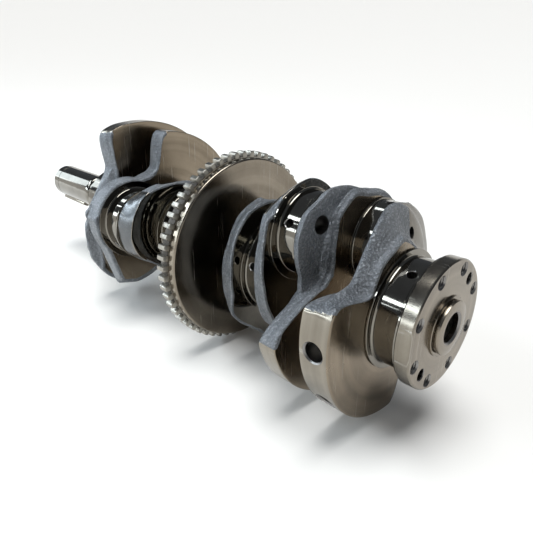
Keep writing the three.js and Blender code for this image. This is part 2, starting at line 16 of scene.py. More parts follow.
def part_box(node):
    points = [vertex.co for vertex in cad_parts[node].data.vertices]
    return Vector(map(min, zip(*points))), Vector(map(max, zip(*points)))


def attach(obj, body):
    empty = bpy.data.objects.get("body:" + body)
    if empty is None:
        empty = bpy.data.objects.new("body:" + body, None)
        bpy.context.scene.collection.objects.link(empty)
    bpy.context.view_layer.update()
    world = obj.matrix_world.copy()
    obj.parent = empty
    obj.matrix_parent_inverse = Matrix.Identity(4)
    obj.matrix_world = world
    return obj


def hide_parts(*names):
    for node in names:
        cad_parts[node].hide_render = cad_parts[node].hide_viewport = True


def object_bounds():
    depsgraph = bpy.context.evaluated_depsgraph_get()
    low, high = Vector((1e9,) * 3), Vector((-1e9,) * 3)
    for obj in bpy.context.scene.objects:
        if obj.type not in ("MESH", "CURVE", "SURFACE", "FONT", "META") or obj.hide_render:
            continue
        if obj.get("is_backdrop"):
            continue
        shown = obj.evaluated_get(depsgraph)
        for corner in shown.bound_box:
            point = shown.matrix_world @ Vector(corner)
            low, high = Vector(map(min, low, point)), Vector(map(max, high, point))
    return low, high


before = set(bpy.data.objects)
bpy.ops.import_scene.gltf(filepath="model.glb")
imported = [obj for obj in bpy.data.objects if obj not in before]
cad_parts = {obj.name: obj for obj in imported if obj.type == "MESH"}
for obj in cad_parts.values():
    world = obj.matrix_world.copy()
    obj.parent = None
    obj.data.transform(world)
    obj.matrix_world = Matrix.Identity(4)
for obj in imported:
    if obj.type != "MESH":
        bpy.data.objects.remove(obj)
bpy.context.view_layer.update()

MM = 0.001
GAP = 0.3
SHAFT_TURN = 12.75


# ------------------------------------------------------------------------------------------------
# Places and sizes read from the frame
# ------------------------------------------------------------------------------------------------

def stations(node):
    """The rear and front shoulder of a section, in mm, with half of the gap to each neighbour added."""
    low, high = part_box(node)
    return -high.x / MM - GAP / 2, -low.x / MM + GAP / 2


def centre(node):
    """The middle of a section across the axis, as a crank angle in degrees and a radius in mm."""
    low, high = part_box(node)
    middle = (low + high) / 2 / MM
    angle = math.degrees(math.atan2(middle.z, -middle.y)) - SHAFT_TURN
    return angle, math.hypot(middle.y, middle.z)


def outer_radius(node):
    low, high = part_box(node)
    return (high.z - low.z) / 2 / MM


THROW = centre("crankpin_2")[1]
MAIN_COLLAR_HEIGHT = 4.0
PIN_COLLAR_HEIGHT = 1.2
WIDE_COLLAR_HEIGHT = 5.5
WIDE_FRONT_COLLARS = (2, 5)
MAIN_RADIUS = outer_radius("main_journal_1") - MAIN_COLLAR_HEIGHT
PIN_RADIUS = outer_radius("crankpin_1") - PIN_COLLAR_HEIGHT
PIN_ANGLE = {number: centre(f"crankpin_{number}")[0] for number in range(1, 7)}


def place(station, angle, radius):
    """Points in metres, in the frame's axes. The arguments may be arrays."""
    turned = np.radians(np.asarray(angle, float) + SHAFT_TURN)
    x = -np.asarray(station, float) + 0 * turned
    y = -radius * np.cos(turned)
    z = radius * np.sin(turned)
    return np.stack(np.broadcast_arrays(x, y, z), axis=-1) * MM


# ------------------------------------------------------------------------------------------------
# Mesh helpers
# ------------------------------------------------------------------------------------------------

def make_object(name, points, faces, slots=(), face_slots=None):
    mesh = bpy.data.meshes.new(name)
    mesh.from_pydata([tuple(point) for point in points], [], faces)
    for material in slots:
        mesh.materials.append(material)
    if face_slots is not None:
        mesh.polygons.foreach_set("material_index", face_slots)
    mesh.update()
    piece = bpy.data.objects.new(name, mesh)
    bpy.context.scene.collection.objects.link(piece)
    return piece


def shade(piece, crease=32):
    """Smooth shading, broken at edges sharper than the crease angle."""
    work = bmesh.new()
    work.from_mesh(piece.data)
    for face in work.faces:
        face.smooth = True
    limit = math.radians(crease)
    for edge in work.edges:
        edge.smooth = len(edge.link_faces) == 2 and edge.calc_face_angle(0) < limit
    work.to_mesh(piece.data)
    work.free()
    return piece


def arc(middle_station, middle_radius, radius, start, end, steps=6):
    """Outline points round a fillet or chamfer, between two directions in degrees.
    Direction 0 is outward from the axis and 90 is forward along it."""
    directions = np.radians(np.linspace(start, end, steps))
    return [(middle_station + radius * math.sin(d), middle_radius + radius * math.cos(d)) for d in directions]


def ring_grid(rings, closed_start, closed_end):
    """Points and faces of a surface through rings of equal length, wrapped round the axis."""
    count = len(rings[0])
    points = list(np.concatenate(rings))
    faces = []
    for ring in range(len(rings) - 1):
        for step in range(count):
            a = ring * count + step
            b = ring * count + (step + 1) % count
            faces.append((a, a + count, b + count, b))
    if closed_start:
        faces.append(tuple(range(count)))
    if closed_end:
        faces.append(tuple(reversed(range((len(rings) - 1) * count, len(rings) * count))))
    return points, faces


def turned(name, outline, slots, segments=192, pin=None, slot_of=None, looped=False):
    """A solid of revolution. The outline runs forward as (station, radius), and it starts and ends
    on the axis unless it is looped round a bore. pin gives the centre of a crankpin."""
    angles = np.arange(segments) * 360 / segments
    offset = place(0, *pin) if pin else np.zeros(3)
    rings = []
    spans = list(outline) + ([outline[0]] if looped else [])
    for station, radius in spans:
        rings.append(place(station, angles, max(radius, 0.001)) + offset)
    points, faces = ring_grid(rings, False, False)
    face_slots = None
    if slot_of:
        face_slots = []
        for span in range(len(spans) - 1):
            face_slots += [slot_of(spans[span], spans[span + 1])] * segments
    piece = make_object(name, points, faces, slots, face_slots)
    weld(piece)
    return piece


def weld(piece, distance=2e-6):
    work = bmesh.new()
    work.from_mesh(piece.data)
    bmesh.ops.remove_doubles(work, verts=work.verts, dist=distance)
    bmesh.ops.dissolve_degenerate(work, edges=work.edges, dist=1e-7)
    bmesh.ops.recalc_face_normals(work, faces=work.faces)
    work.to_mesh(piece.data)
    work.free()


def cut(piece, cutters, material=None):
    """Subtracts the cutters from the piece and removes them. Cut faces take the given material."""
    for cutter in cutters:
        cutter.data.materials.clear()
        cutter.data.materials.append(material or piece.data.materials[0])
        modifier = piece.modifiers.new("cut", "BOOLEAN")
        modifier.operation = "DIFFERENCE"
        modifier.solver = "EXACT"
        modifier.object = cutter
        modifier.material_mode = "TRANSFER"
    bpy.context.view_layer.update()
    graph = bpy.context.evaluated_depsgraph_get()
    mesh = bpy.data.meshes.new_from_object(piece.evaluated_get(graph))
    piece.modifiers.clear()
    old = piece.data
    piece.data = mesh
    mesh.name = piece.name
    bpy.data.meshes.remove(old)
    for cutter in cutters:
        bpy.data.objects.remove(cutter)
    return piece


def finish(piece, nodes):
    shade(piece)
    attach(piece, "root")
    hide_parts(*nodes)
    return piece


def drill(outline, across, along, origin, segments=48):
    """A cutter turned about the direction `along`. The outline is (depth, radius) pairs, with depth
    counted along that direction from the origin, in mm. `across` is any direction square to it."""
    along = Vector(along).normalized()
    side = Vector(across).normalized()
    third = along.cross(side)
    rings = []
    turns = np.radians(np.arange(segments) * 360 / segments)
    for depth, radius in outline:
        middle = np.array(origin) + np.array(along) * depth * MM
        ring = np.outer(np.cos(turns), np.array(side)) + np.outer(np.sin(turns), np.array(third))
        rings.append(middle + ring * radius * MM)
    points, faces = ring_grid(rings, True, True)
    cutter = make_object("cutter", points, faces)
    weld(cutter)
    return cutter


def radial_drill(station, angle, outline, pin=None, segments=48):
    """A drill pointing outward along a crank radius. Depths are radii from the axis or crankpin."""
    origin = place(station, *pin) if pin else place(station, 0, 0)
    outward = place(0, angle, 1000)
    return drill(outline, (1, 0, 0), outward, origin, segments)


def axial_drill(angle, radius, outline, segments=48):
    """A drill along the shaft. Depths are stations."""
    return drill(outline, (0, 0, 1), (-1, 0, 0), place(0, angle, radius), segments)


def thread(start, end, radius, pitch, depth):
    """Outline points of a threaded wall."""
    points = []
    for turn in range(int((end - start) / pitch)):
        points += [(start + turn * pitch, radius), (start + (turn + 0.5) * pitch, radius + depth)]
    return points + [(end, radius)]


# ------------------------------------------------------------------------------------------------
# Materials
# ------------------------------------------------------------------------------------------------

class Nodes:
    """A node tree that is written one node per line."""

    def __init__(self, name):
        self.material = bpy.data.materials.new(name)
        self.material.use_nodes = True
        self.tree = self.material.node_tree
        self.tree.nodes.clear()

    def add(self, kind, inputs=None, **settings):
        node = self.tree.nodes.new(kind)
        for key, value in settings.items():
            setattr(node, key, value)
        for key, value in (inputs or {}).items():
            socket = node.inputs[key]
            if isinstance(value, bpy.types.NodeSocket):
                self.tree.links.new(value, socket)
            else:
                socket.default_value = value
        return node

    def math(self, operation, a, b=0.0):
        return self.add("ShaderNodeMath", {0: a, 1: b}, operation=operation).outputs[0]

    def vector(self, operation, a, b=(0, 0, 0)):
        node = self.add("ShaderNodeVectorMath", {0: a, 1: b}, operation=operation)
        return node.outputs["Value" if operation in ("LENGTH", "DOT_PRODUCT") else "Vector"]

    def noise(self, position, scale, detail=4.0, roughness=0.55):
        inputs = {"Vector": position, "Scale": scale, "Detail": detail, "Roughness": roughness}
        return self.add("ShaderNodeTexNoise", inputs).outputs["Fac"]

    def ramp(self, value, low, high, to_low, to_high):
        inputs = {"Value": value, "From Min": low, "From Max": high, "To Min": to_low, "To Max": to_high}
        return self.add("ShaderNodeMapRange", inputs).outputs["Result"]

    def mix(self, factor, first, second):
        node = self.add("ShaderNodeMix", data_type="RGBA")
        for socket, value in ((node.inputs[0], factor), (node.inputs[6], first), (node.inputs[7], second)):
            if isinstance(value, bpy.types.NodeSocket):
                self.tree.links.new(value, socket)
            else:
                socket.default_value = value
        return node.outputs[2]

    def bump(self, height, strength, distance, normal=None):
        inputs = {"Height": height, "Strength": strength, "Distance": distance}
        if normal is not None:
            inputs["Normal"] = normal
        return self.add("ShaderNodeBump", inputs).outputs["Normal"]

    def steel(self, colour, roughness, normal=None, tangent=None, anisotropy=0.0):
        shader = self.add("ShaderNodeBsdfPrincipled", {"Metallic": 1.0, "Specular IOR Level": 0.5})
        shader.inputs["Anisotropic"].default_value = anisotropy
        for key, value in (("Base Color", colour), ("Roughness", roughness), ("Normal", normal),
                           ("Tangent", tangent)):
            if isinstance(value, bpy.types.NodeSocket):
                self.tree.links.new(value, shader.inputs[key])
            elif value is not None:
                shader.inputs[key].default_value = value
        self.add("ShaderNodeOutputMaterial", {"Surface": shader.outputs[0]})
        return self.material

    def object_position(self):
        return self.add("ShaderNodeTexCoord").outputs["Object"]

    def about_axis(self, position):
        """Distance from the crank's axis, and the direction of a tool turning about it."""
        split = self.add("ShaderNodeSeparateXYZ", {0: position})
        flat = self.add("ShaderNodeCombineXYZ", {1: split.outputs[1], 2: split.outputs[2]}).outputs[0]
        radius = self.vector("LENGTH", flat)
        minus_z = self.math("MULTIPLY", split.outputs[2], -1.0)
        around = self.add("ShaderNodeCombineXYZ", {1: minus_z, 2: split.outputs[1]}).outputs[0]
        return split, radius, self.vector("NORMALIZE", around)


def ground_steel(name, offset):
    """Ground and polished: fine marks run round the journal, and its gloss is slightly cloudy."""
    n = Nodes(name)
    position = n.vector("SUBTRACT", n.object_position(), tuple(offset))
    split, radius, around = n.about_axis(position)
    along = n.add("ShaderNodeCombineXYZ", {0: split.outputs[0]}).outputs[0]
    lines = n.noise(along, 2600.0, 3.0, 0.7)
    waves = n.noise(along, 420.0, 2.0, 0.5)
    cloud = n.noise(position, 70.0, 4.0, 0.6)
    height = n.math("ADD", n.math("MULTIPLY", lines, 0.3), waves)
    normal = n.bump(height, 0.16, 0.00005)
    roughness = n.math("ADD", n.ramp(cloud, 0.3, 0.75, 0.03, 0.08), n.ramp(lines, 0.3, 0.7, 0.0, 0.03))
    colour = n.mix(n.ramp(cloud, 0.35, 0.7, 0.0, 1.0), (0.23, 0.215, 0.187, 1), (0.175, 0.162, 0.14, 1))
    return n.steel(colour, roughness, normal, around, 0.15)


def turned_steel(name, light, dark, rough, mark, anisotropy=0.5):
    """Faced on a lathe: concentric tool marks, a brushed sheen across them and stray scratches."""
    n = Nodes(name)
    position = n.object_position()
    split, radius, around = n.about_axis(position)
    ring_place = n.add("ShaderNodeCombineXYZ", {0: radius, 1: split.outputs[0]})
    rings = n.noise(ring_place.outputs[0], 1900.0, 3.0, 0.65)
    bands = n.noise(ring_place.outputs[0], 180.0, 2.0, 0.5)
    cloud = n.noise(position, 38.0, 5.0, 0.6)
    stretch = {"Vector": position, "Rotation": (0.6, 0.3, 0.0), "Scale": (30, 900, 22)}
    stretched = n.add("ShaderNodeMapping", stretch)
    scratches = n.ramp(n.noise(stretched.outputs[0], 1.0, 2.0, 0.5), 0.66, 0.74, 0.0, 1.0)
    height = n.math("ADD", n.math("MULTIPLY", rings, mark), n.math("MULTIPLY", scratches, -0.5))
    normal = n.bump(height, 0.4, 0.00006)
    cloudy = n.ramp(cloud, 0.3, 0.7, rough[0], rough[1])
    roughness = n.math("ADD", cloudy, n.math("MULTIPLY", scratches, 0.12))
    shadeless = n.math("ADD", n.math("MULTIPLY", bands, 0.5), n.math("MULTIPLY", cloud, 0.5))
    colour = n.mix(n.ramp(shadeless, 0.38, 0.62, 0.0, 1.0), dark, light)
    colour = n.mix(n.math("MULTIPLY", scratches, 0.5), colour, (0.5, 0.48, 0.44, 1))
    return n.steel(colour, roughness, normal, around, anisotropy)


def forged_steel(name):
    """Shot-blasted forging: dark and blue grey, pitted with a fine grain, with soft hollows."""
    n = Nodes(name)
    position = n.object_position()
    grain = n.noise(position, 850.0, 4.0, 0.7)
    pits = n.add("ShaderNodeTexVoronoi", {"Vector": position, "Scale": 520.0}).outputs["Distance"]
    hollows = n.noise(position, 60.0, 4.0, 0.55)
    height = n.math("ADD", grain, n.math("MULTIPLY", pits, 0.6))
    normal = n.bump(height, 1.0, 0.0011, n.bump(hollows, 0.4, 0.0009))
    tone = n.mix(n.ramp(hollows, 0.35, 0.65, 0.0, 1.0), (0.13, 0.14, 0.153, 1), (0.22, 0.233, 0.25, 1))
    speckle = n.ramp(grain, 0.5, 0.72, 0.0, 1.0)
    colour = n.mix(n.math("MULTIPLY", speckle, 0.7), tone, (0.5, 0.515, 0.535, 1))
    roughness = n.ramp(pits, 0.1, 0.7, 0.3, 0.5)
    return n.steel(colour, roughness, normal)


GROUND = ground_steel("ground_steel_main", (0, 0, 0))
PIN_FINISH = {
    number: ground_steel(f"ground_steel_pin_{number}", place(0, PIN_ANGLE[number], THROW))
    for number in PIN_ANGLE
}
TURNED = turned_steel(
    "turned_steel", (0.28, 0.243, 0.195, 1), (0.19, 0.162, 0.128, 1), (0.15, 0.25), 0.35, 0.35
)
FACED = turned_steel(
    "faced_steel", (0.3, 0.248, 0.186, 1), (0.2, 0.164, 0.122, 1), (0.17, 0.28), 0.4, 0.35
)
MILLED = turned_steel(
    "milled_steel", (0.16, 0.14, 0.112, 1), (0.11, 0.095, 0.075, 1), (0.24, 0.34), 0.5, 0.0
)
RIM = turned_steel(
    "turned_rim_steel", (0.29, 0.262, 0.218, 1), (0.205, 0.183, 0.15, 1), (0.15, 0.25), 0.7
)
SATIN = turned_steel(
    "satin_nose_steel", (0.15, 0.155, 0.16, 1), (0.1, 0.103, 0.106, 1), (0.24, 0.34), 0.6, 0.2
)
TOOTH = turned_steel("tone_ring_steel", (0.36, 0.34, 0.3, 1), (0.26, 0.245, 0.215, 1), (0.28, 0.4), 0.3)
# Painted shade: the band between the tone ring's teeth is the same steel, painted near black to stand for the
# shade in the gaps.
SLOT_PAINTED_SHADE = turned_steel(
    "tone_ring_slot_painted_shade", (0.09, 0.08, 0.07, 1), (0.05, 0.045, 0.04, 1), (0.4, 0.55), 0.3
)
FORGED = forged_steel("forged_steel")
BORE = turned_steel("bored_steel", (0.3, 0.29, 0.28, 1), (0.2, 0.19, 0.18, 1), (0.25, 0.4), 0.8)


# ------------------------------------------------------------------------------------------------
# Journals and crankpins
# ------------------------------------------------------------------------------------------------

COLLAR_LENGTH = 1.4
COLLAR_CHAMFER = 0.35
ROLLED_FILLET = 1.5
UNDERCUT = 0.35
OIL_HOLE_RADIUS = 2.8
OIL_HOLE_MOUTH = 3.3
OIL_HOLE_DEPTH = 14
MAIN_OIL_ANGLE = {1: 110, 2: 150, 3: 0, 4: 52.3}
MAIN_OIL_STATION = {3: 123.9, 4: 17}
LIGHTENING_HOLE = (50.6, 53.5, [(60, 5.9), (92, 5.9), (95, 0.5)])
PIN_OIL_ANGLE = {1: 345, 2: 315, 3: 225, 4: 195, 5: 13.6, 6: 75}


# The noses are turned about the crank's axis together with the collars beside them: the most that a
# crankpin's rear and front collars reach from that axis.
COLLAR_LIMITS = {2: (65.4, 90), 3: (90, 65.6), 5: (90, 69.6), 6: (63.6, 90)}


def turn_collars(piece, rear, front, limits):
    """Brings the collar points that reach past the limits back to them."""
    for point in piece.data.vertices:
        station = -point.co.x / MM
        limit = limits[0] if station < (rear + front) / 2 else limits[1]
        reach = math.hypot(point.co.y, point.co.z) / MM
        if min(station - rear, front - station) < COLLAR_LENGTH + 0.4 and reach > limit:
            point.co.y *= limit / reach
            point.co.z *= limit / reach


def journal_end(radius, collar):
    """The outline from a shoulder inward: collar, rolled undercut, ground surface."""
    fillet = min(ROLLED_FILLET, collar - radius - 0.4)
    end = [(0, 0), (0, collar - COLLAR_CHAMFER), (COLLAR_CHAMFER, collar)]
    end += [(COLLAR_LENGTH - 0.2, collar), (COLLAR_LENGTH, collar - 0.2)]
    end += arc(COLLAR_LENGTH + fillet, radius + fillet - UNDERCUT, fillet, 270, 180, 7)
    return end + [(COLLAR_LENGTH + fillet + 0.5, radius)]


def journal_outline(rear, front, radius, rear_collar, front_collar):
    outline = [(rear + station, reach) for station, reach in journal_end(radius, rear_collar)]
    front_end = [(front - station, reach) for station, reach in reversed(journal_end(radius, front_collar))]
    for station in np.linspace(outline[-1][0], front_end[0][0], 12)[1:-1]:
        outline.append((float(station), radius))
    return outline + front_end


def oil_drill(station, angle, radius, pin=None):
    sink = OIL_HOLE_MOUTH - OIL_HOLE_RADIUS
    outline = [(radius - OIL_HOLE_DEPTH, OIL_HOLE_RADIUS), (radius - sink, OIL_HOLE_RADIUS)]
    outline += [(radius - sink * 0.35, OIL_HOLE_RADIUS + sink * 0.45), (radius + 0.3, OIL_HOLE_MOUTH + 0.5)]
    outline += [(radius + 4, OIL_HOLE_MOUTH + 0.5)]
    return radial_drill(station, angle, outline, pin)


def pilot_cutter():
    mouth = -6.0
    outline = [(mouth, 12.0), (-4.2, 10.2), (-3.6, 9.4), (-3.0, 9.0)]
    outline += [(12, 9.0), (14, 6.5), (24, 6.5), (26, 0.5)]
    return axial_drill(0, 0, outline, 96)


for number in (1, 2, 3, 4):
    rear, front = stations(f"main_journal_{number}")
    collar = MAIN_RADIUS + MAIN_COLLAR_HEIGHT
    outline = journal_outline(rear, front, MAIN_RADIUS, collar, collar)
    piece = turned(f"main_journal_{number}_ground", outline, [GROUND, BORE], 256)
    oil_station = MAIN_OIL_STATION.get(number, (rear + front) / 2)
    cutters = [oil_drill(oil_station, MAIN_OIL_ANGLE[number], MAIN_RADIUS)]
    if number == 4:
        cutters.append(pilot_cutter())
    cut(piece, cutters, BORE)
    finish(piece, [f"main_journal_{number}"])

for number in PIN_ANGLE:
    rear, front = stations(f"crankpin_{number}")
    pin = (PIN_ANGLE[number], THROW)
    rear_collar = PIN_RADIUS + PIN_COLLAR_HEIGHT
    front_height = WIDE_COLLAR_HEIGHT if number in WIDE_FRONT_COLLARS else PIN_COLLAR_HEIGHT
    outline = journal_outline(rear, front, PIN_RADIUS, rear_collar, PIN_RADIUS + front_height)
    piece = turned(f"crankpin_{number}_ground", outline, [PIN_FINISH[number], BORE], 224, pin)
    if number in COLLAR_LIMITS:
        turn_collars(piece, rear, front, COLLAR_LIMITS[number])
    cutters = [oil_drill((rear + front) / 2, PIN_OIL_ANGLE[number], PIN_RADIUS, pin)]
    if number == 5:
        cutters.append(axial_drill(*LIGHTENING_HOLE))
    cut(piece, cutters, BORE)
    finish(piece, [f"crankpin_{number}"])


# ------------------------------------------------------------------------------------------------
# Webs
# ------------------------------------------------------------------------------------------------

WEB_STEPS = 540
ANGLES = np.arange(WEB_STEPS) * 360 / WEB_STEPS
MACHINED_EDGE = 0.5
FORGED_EDGE = 1.9
CORNER_SOFTNESS = 1.1
FLANK_SOFTNESS = 1.5
TURNED_TOLERANCE = 0.6
SWELL_STEEPNESS = 2.5
HAMMER_SCALE, HAMMER_HEIGHT = 55, 0.4
RIPPLE_SCALE, RIPPLE_HEIGHT = 170, 0.16
FORGED_DROP = 0.12


def turn_from(angle, reference):
    return (angle - reference + 180) % 360 - 180


def nose_reach(nose, boss):
    """The reach of a nose that wraps a crankpin and runs in straight flanks to the round boss."""
    nose_angle, nose_radius = nose
    offset = np.abs(turn_from(ANGLES, nose_angle))
    across = THROW * np.sin(np.radians(offset))
    inside = (offset < 90) & (across < nose_radius)
    round_reach = THROW * np.cos(np.radians(offset))
    round_reach = round_reach + np.sqrt(np.maximum(nose_radius ** 2 - across ** 2, 0))
    reach = np.where(inside, np.maximum(boss, round_reach), boss)
    flank = math.acos((boss - nose_radius) / THROW)
    touch_height = nose_radius * math.sin(flank)
    touch_angle = math.degrees(math.atan2(touch_height, THROW + nose_radius * math.cos(flank)))
    flank = math.degrees(flank)
    on_flank = (offset > touch_angle) & (offset < flank)
    flank_reach = boss / np.maximum(np.cos(np.radians(offset - flank)), 0.05)
    return np.where(on_flank, np.maximum(reach, flank_reach), reach)


def bridge_reach(noses):
    """The reach of the straight top between two noses."""
    middle = noses[1][0] + turn_from(noses[0][0], noses[1][0]) / 2
    spread = abs(turn_from(noses[0][0], middle))
    offset = np.abs(turn_from(ANGLES, middle))
    height = THROW * math.cos(math.radians(spread)) + min(noses[0][1], noses[1][1])
    return np.where(offset > spread, 0, height / np.cos(np.radians(np.minimum(offset, spread))))


def lobe_reach(lobe, boss):
    start_root, start_tip, end_tip, end_root = lobe["angles"]
    past_start = turn_from(ANGLES, start_root) / (start_tip - start_root)
    past_end = turn_from(end_root, ANGLES) / (end_root - end_tip)
    rise = np.clip(np.minimum(past_start, past_end), 0, 1) ** 2
    return boss + (lobe["radius"] - boss) * rise


def soften(values, degrees):
    """Rounds the corners of an outline over about this many degrees each way."""
    steps = int(4 * degrees * WEB_STEPS / 360) + 1
    offsets = np.arange(-steps, steps + 1)
    weights = np.exp(-0.5 * (offsets * 360 / WEB_STEPS / degrees) ** 2)
    weights /= weights.sum()
    return sum(weight * np.roll(values, offset) for weight, offset in zip(weights, offsets))


def with_flank(reach, flank):
    """The outline with one stretch of it led through the flank's (angle, radius) points."""
    first, last = flank[0][0], flank[-1][0]
    offset = (ANGLES - first) % 360
    led = np.interp(offset, [angle - first for angle, _ in flank], [radius for _, radius in flank])
    return np.where(offset <= last - first, led, reach)


def mirrored(flank, about):
    """The same flank on the other side of a nose."""
    return [(2 * about - angle, radius) for angle, radius in reversed(flank)]


def section_reach(web, section):
    if "between" in section:
        rear, front = (section_reach(web, web["sections"][end]) for end in (0, -1))
        height, start, end = section["swell"]
        inside = np.clip(((ANGLES - start) % 360) / (end - start), 0, 1)
        swell = height * np.minimum(1, SWELL_STEEPNESS * np.sin(math.pi * inside))
        return rear + (front - rear) * section["between"] + swell
    boss = section["boss"]
    reach = np.max([nose_reach(nose, boss) for nose in web["noses"]], axis=0)
    if len(web["noses"]) == 2:
        reach = np.maximum(reach, bridge_reach(web["noses"]))
    reach = np.minimum(soften(reach, CORNER_SOFTNESS), section.get("turned", 1000))
    if "lobe" in web:
        reach = np.maximum(reach, soften(lobe_reach(web["lobe"], boss), CORNER_SOFTNESS))
    flanks = section.get("flanks", [])
    for flank in flanks:
        reach = with_flank(reach, flank)
    return soften(reach, FLANK_SOFTNESS) if flanks else reach


def reach_at(web, share):
    """The outline at a share of the thickness, 0 at the rear face, eased between the sections."""
    sections = web["sections"]
    for near, far in zip(sections, sections[1:]):
        if share <= far["at"] + 1e-9:
            ease = (share - near["at"]) / (far["at"] - near["at"])
            ease = ease * ease * (3 - 2 * ease)
            return section_reach(web, near) * (1 - ease) + section_reach(web, far) * ease
    return section_reach(web, sections[-1])


def web_piece(name, web):
    """The forging's faces, its rounded edges and its rim, as one skin of rings from rear to front.
    The lobe and the turned noses are machined round, and the rest of the rim is as forged."""
    rear, front = stations(name)
    thickness = front - rear
    limits = [section["turned"] for section in web["sections"] if "turned" in section]
    if "lobe" in web:
        limits.append(web["lobe"]["radius"])

    def machined(reach):
        flags = np.zeros(WEB_STEPS, bool)
        for limit in limits:
            flags |= np.abs(reach - limit) < TURNED_TOLERANCE
        steady = flags & np.roll(flags, 3) & np.roll(flags, -3)
        return steady if "lobe" not in web else steady | (reach > web["lobe"]["radius"] - TURNED_TOLERANCE)

    rings = []

    def face_rings(reach, edge, station, forward):
        shares = [0.02, 0.2, 0.4, 0.6, 0.75, 0.86, 0.94, 0.98]
        for share in (reversed(shares) if forward else shares):
            rings.append((station + 0 * reach, (reach - edge) * share, 0.0, np.zeros(WEB_STEPS, bool)))

    def edge_rings(reach, edge, station, forward):
        turns = np.radians([0, 22, 45, 68, 90])
        for turn in (reversed(turns) if forward else turns):
            inward = edge * (1 - math.cos(turn))
            radius = reach - edge * (1 - math.sin(turn))
            rings.append((station + (-inward if forward else inward), radius, 0.0, ~machined(reach)))

    rear_reach, front_reach = reach_at(web, 0), reach_at(web, 1)
    forged_edges = web.get("edges", (FORGED_EDGE, FORGED_EDGE))
    rear_edge, front_edge = (
        soften(np.where(machined(reach), MACHINED_EDGE, forged_edge), CORNER_SOFTNESS)
        for reach, forged_edge in zip((rear_reach, front_reach), forged_edges)
    )
    milled_start, milled_end = web.get("milled", (0, 0))
    milled = (ANGLES > milled_start) & (ANGLES < milled_end)
    bright_middle, bright_spread = web.get("bright", (0, -1))
    bright = np.abs(turn_from(ANGLES, bright_middle)) < bright_spread
    face_rings(rear_reach, rear_edge, rear, False)
    edge_rings(rear_reach, rear_edge, rear, False)
    for share in np.linspace(0, 1, 19)[1:-1]:
        station = rear + rear_edge + (thickness - rear_edge - front_edge) * share
        reach = reach_at(web, share)
        rings.append((station, reach, math.sin(math.pi * share), ~machined(reach) & ~milled & ~bright))
    edge_rings(front_reach, front_edge, front, True)
    face_rings(front_reach, front_edge, front, True)

    grid = []
    forged = []
    for station, reach, rim, rough in rings:
        points = place(station, ANGLES, reach)
        if rim > 0:
            weight = soften(np.where(rough, 1.0, 0.0), CORNER_SOFTNESS) * min(1.0, 2.2 * rim)
            outward = place(0, ANGLES, 1.0) / MM
            hammer = np.array([noise.noise(Vector(point) * HAMMER_SCALE) for point in points])
            ripple = np.array([noise.noise(Vector(point) * RIPPLE_SCALE) for point in points])
            wobble = HAMMER_HEIGHT * hammer + RIPPLE_HEIGHT * ripple - FORGED_DROP
            points = points + outward * (wobble * weight)[:, None] * MM
        forged.append(rough)
        grid.append(points)
    points, faces = ring_grid(grid, True, True)
    face_slots = []
    for ring in range(len(grid) - 1):
        rough = forged[ring] | forged[ring + 1]
        rough = rough | np.roll(rough, -1)
        if rings[ring][2] > 0 or rings[ring + 1][2] > 0:
            smooth = np.where(milled, 3, np.where(bright, 5, 4))
        else:
            smooth = np.full(WEB_STEPS, 0)
        face_slots += np.where(rough & ~bright, 1, smooth).tolist()
    face_slots += [0, 0]
    face_finish = GROUND if web.get("polished") else FACED
    slots = [face_finish, FORGED, BORE, MILLED, RIM, SATIN]
    piece = make_object(f"{name}_forging", points, faces, slots, face_slots)
    weld(piece)
    return piece


# The sides of the webs whose forging runs away from plain noses and bosses, as crank angles and radii.
REAR_ARM_REAR = [
    (5.5, 73.5), (8.9, 67.7), (10.3, 57), (12, 46.4), (17.6, 39.8), (29, 42), (40.5, 45.2),
    (57.5, 45.5), (70, 47.9), (80.5, 43.6), (93.5, 38.5), (115, 34), (130, 34), (150, 36),
    (180, 40),
]
REAR_ARM_MIDDLE = [
    (4.5, 71.5), (13.8, 56.2), (19.6, 49.2), (26.8, 48.8), (38, 51), (48.9, 54.9), (58, 60.6),
    (64.8, 65), (69, 66), (78, 64.3), (92.8, 58.5), (103, 54.5), (119, 49.5), (130, 46), (180, 43),
]
REAR_ARM_FRONT = [
    (4.2, 71.2), (12, 40.6), (20.9, 33.1), (32.3, 33), (48.8, 36.9), (62.6, 43.3), (72.5, 51.5),
    (79, 58.6), (85, 61), (91, 61.7), (105, 62.7), (122, 62.8), (137, 60.5), (158, 60), (175, 54),
    (200, 43),
]
RIDGE_REAR = [
    (-21.9, 72), (-15.2, 57.1), (-4.5, 40.1), (6.6, 28), (27.3, 25), (42.8, 31.5), (54.9, 44.8),
    (61.3, 55.8), (77.4, 65.4), (90, 64), (111, 68.5), (120.4, 68),
]
RIDGE_FRONT = [
    (-24.6, 72), (-13.8, 46.9), (-2.3, 38.7), (11.7, 41.3), (22.6, 51.1), (31.5, 58.9),
    (44.5, 66.2), (59.6, 66.5), (68.9, 67.5),
]

